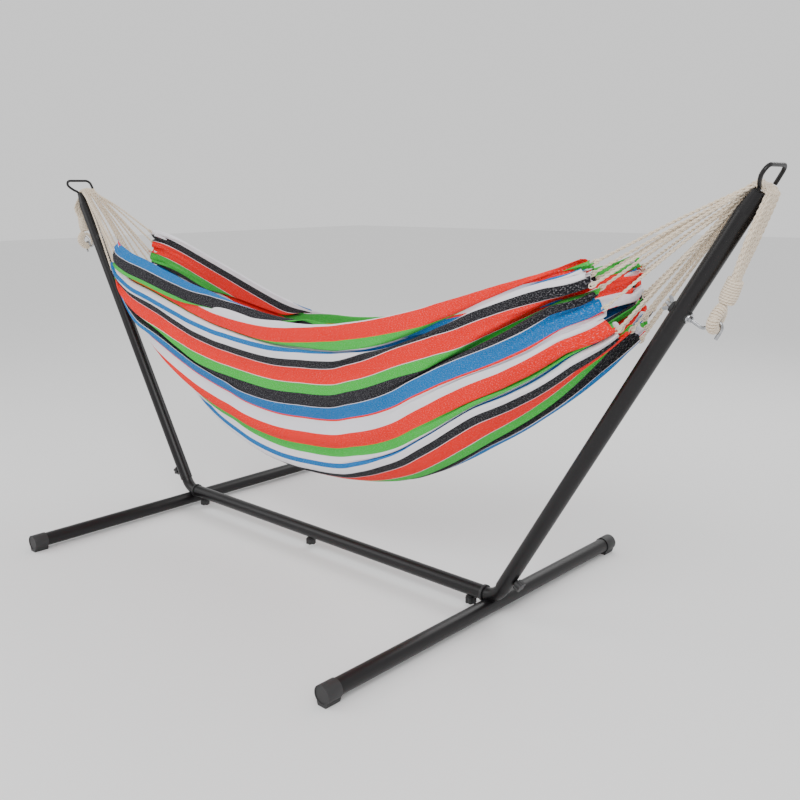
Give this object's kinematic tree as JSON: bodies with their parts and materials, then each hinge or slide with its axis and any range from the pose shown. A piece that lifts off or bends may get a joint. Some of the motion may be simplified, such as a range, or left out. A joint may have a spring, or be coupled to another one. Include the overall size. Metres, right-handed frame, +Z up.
{
  "type": "hammock with stand",
  "caption": "Steel-tube hammock stand on cross feet with leaning uprights, carrying a striped cotton hammock hung by fanned cords, rope eyes and hook bolts.",
  "frame": {"origin": "middle of the footprint, on the ground", "axes": "+X along the hammock and the centre beam, +Y across it, +Z up"},
  "size_m": [2.6922, 1.224, 1.1592],
  "materials": {
    "black_steel": "satin black powder coat",
    "black_plastic": "matte moulded",
    "zinc": "bright zinc plate",
    "rubber": "matte",
    "cotton_rope": "twisted natural cotton",
    "striped_cloth": "woven cotton with lengthwise stripes of red, green, charcoal, blue and white"
  },
  "bodies": {
    "stand": {"cross_tube_left": "black_steel", "cross_tube_right": "black_steel", "end_cap_left_front": "black_plastic", "end_cap_left_back": "black_plastic", "end_cap_right_front": "black_plastic", "end_cap_right_back": "black_plastic", "elbow_left": "black_steel", "elbow_right": "black_steel", "beam_bush_left": "black_plastic", "beam_bush_right": "black_plastic", "beam_left": "black_steel", "beam_right": "black_steel", "upright_left": "black_steel", "upright_right": "black_steel", "knob_nuts": "zinc", "guide_loop_left": "black_steel", "guide_loop_right": "black_steel", "hook_left": "zinc", "hook_right": "zinc", "hook_saddle_left": "zinc", "hook_saddle_right": "zinc", "rubber_pads_left": "rubber", "rubber_pads_right": "rubber", "rope_tail_left": "cotton_rope", "rope_tail_right": "cotton_rope", "rope_collar_left": "cotton_rope", "rope_collar_right": "cotton_rope", "rope_eye_left": "cotton_rope", "rope_eye_right": "cotton_rope", "thimble_left": "zinc", "thimble_right": "zinc"},
    "hammock": {"hammock_cloth": "striped_cloth", "clew_cords_left": "cotton_rope", "clew_cords_right": "cotton_rope"},
    "knob_upright_left": {"knob_upright_left": "black_plastic"},
    "knob_upright_right": {"knob_upright_right": "black_plastic"},
    "knob_beam_left": {"knob_beam_left": "black_plastic"},
    "knob_beam_middle": {"knob_beam_middle": "black_plastic"},
    "knob_beam_right": {"knob_beam_right": "black_plastic"},
    "wing_nut_left": {"wing_nut_left": "zinc"},
    "wing_nut_right": {"wing_nut_right": "zinc"}
  },
  "joints": [
    {"name": "hammock_swing", "type": "hinge", "parent": "stand", "child": "hammock", "pos_m": [0, 0.018, 1.11474], "axis": [1, 0, 0], "range_deg": [-25, 25]},
    {"name": "knob_beam_left_turn", "type": "hinge", "parent": "stand", "child": "knob_beam_left", "pos_m": [-0.608, 0, 0.03], "axis": [0, 0, -1], "continuous": true},
    {"name": "knob_beam_middle_turn", "type": "hinge", "parent": "stand", "child": "knob_beam_middle", "pos_m": [-0.041, 0, 0.03], "axis": [0, 0, -1], "continuous": true},
    {"name": "knob_beam_right_turn", "type": "hinge", "parent": "stand", "child": "knob_beam_right", "pos_m": [0.608, 0, 0.03], "axis": [0, 0, -1], "continuous": true},
    {"name": "knob_upright_right_turn", "type": "hinge", "parent": "stand", "child": "knob_upright_right", "pos_m": [0.76677, 0, 0.10989], "axis": [0.8616, 0, -0.5075], "continuous": true},
    {"name": "knob_upright_left_turn", "type": "hinge", "parent": "stand", "child": "knob_upright_left", "pos_m": [-0.76677, 0, 0.10989], "axis": [-0.8616, 0, -0.5075], "continuous": true},
    {"name": "wing_nut_right_turn", "type": "hinge", "parent": "stand", "child": "wing_nut_right", "pos_m": [1.13862, 0, 0.86923], "axis": [-0.8616, 0, 0.5075], "continuous": true},
    {"name": "wing_nut_left_turn", "type": "hinge", "parent": "stand", "child": "wing_nut_left", "pos_m": [-1.18735, 0, 0.95195], "axis": [0.8616, 0, 0.5075], "continuous": true}
  ]
}
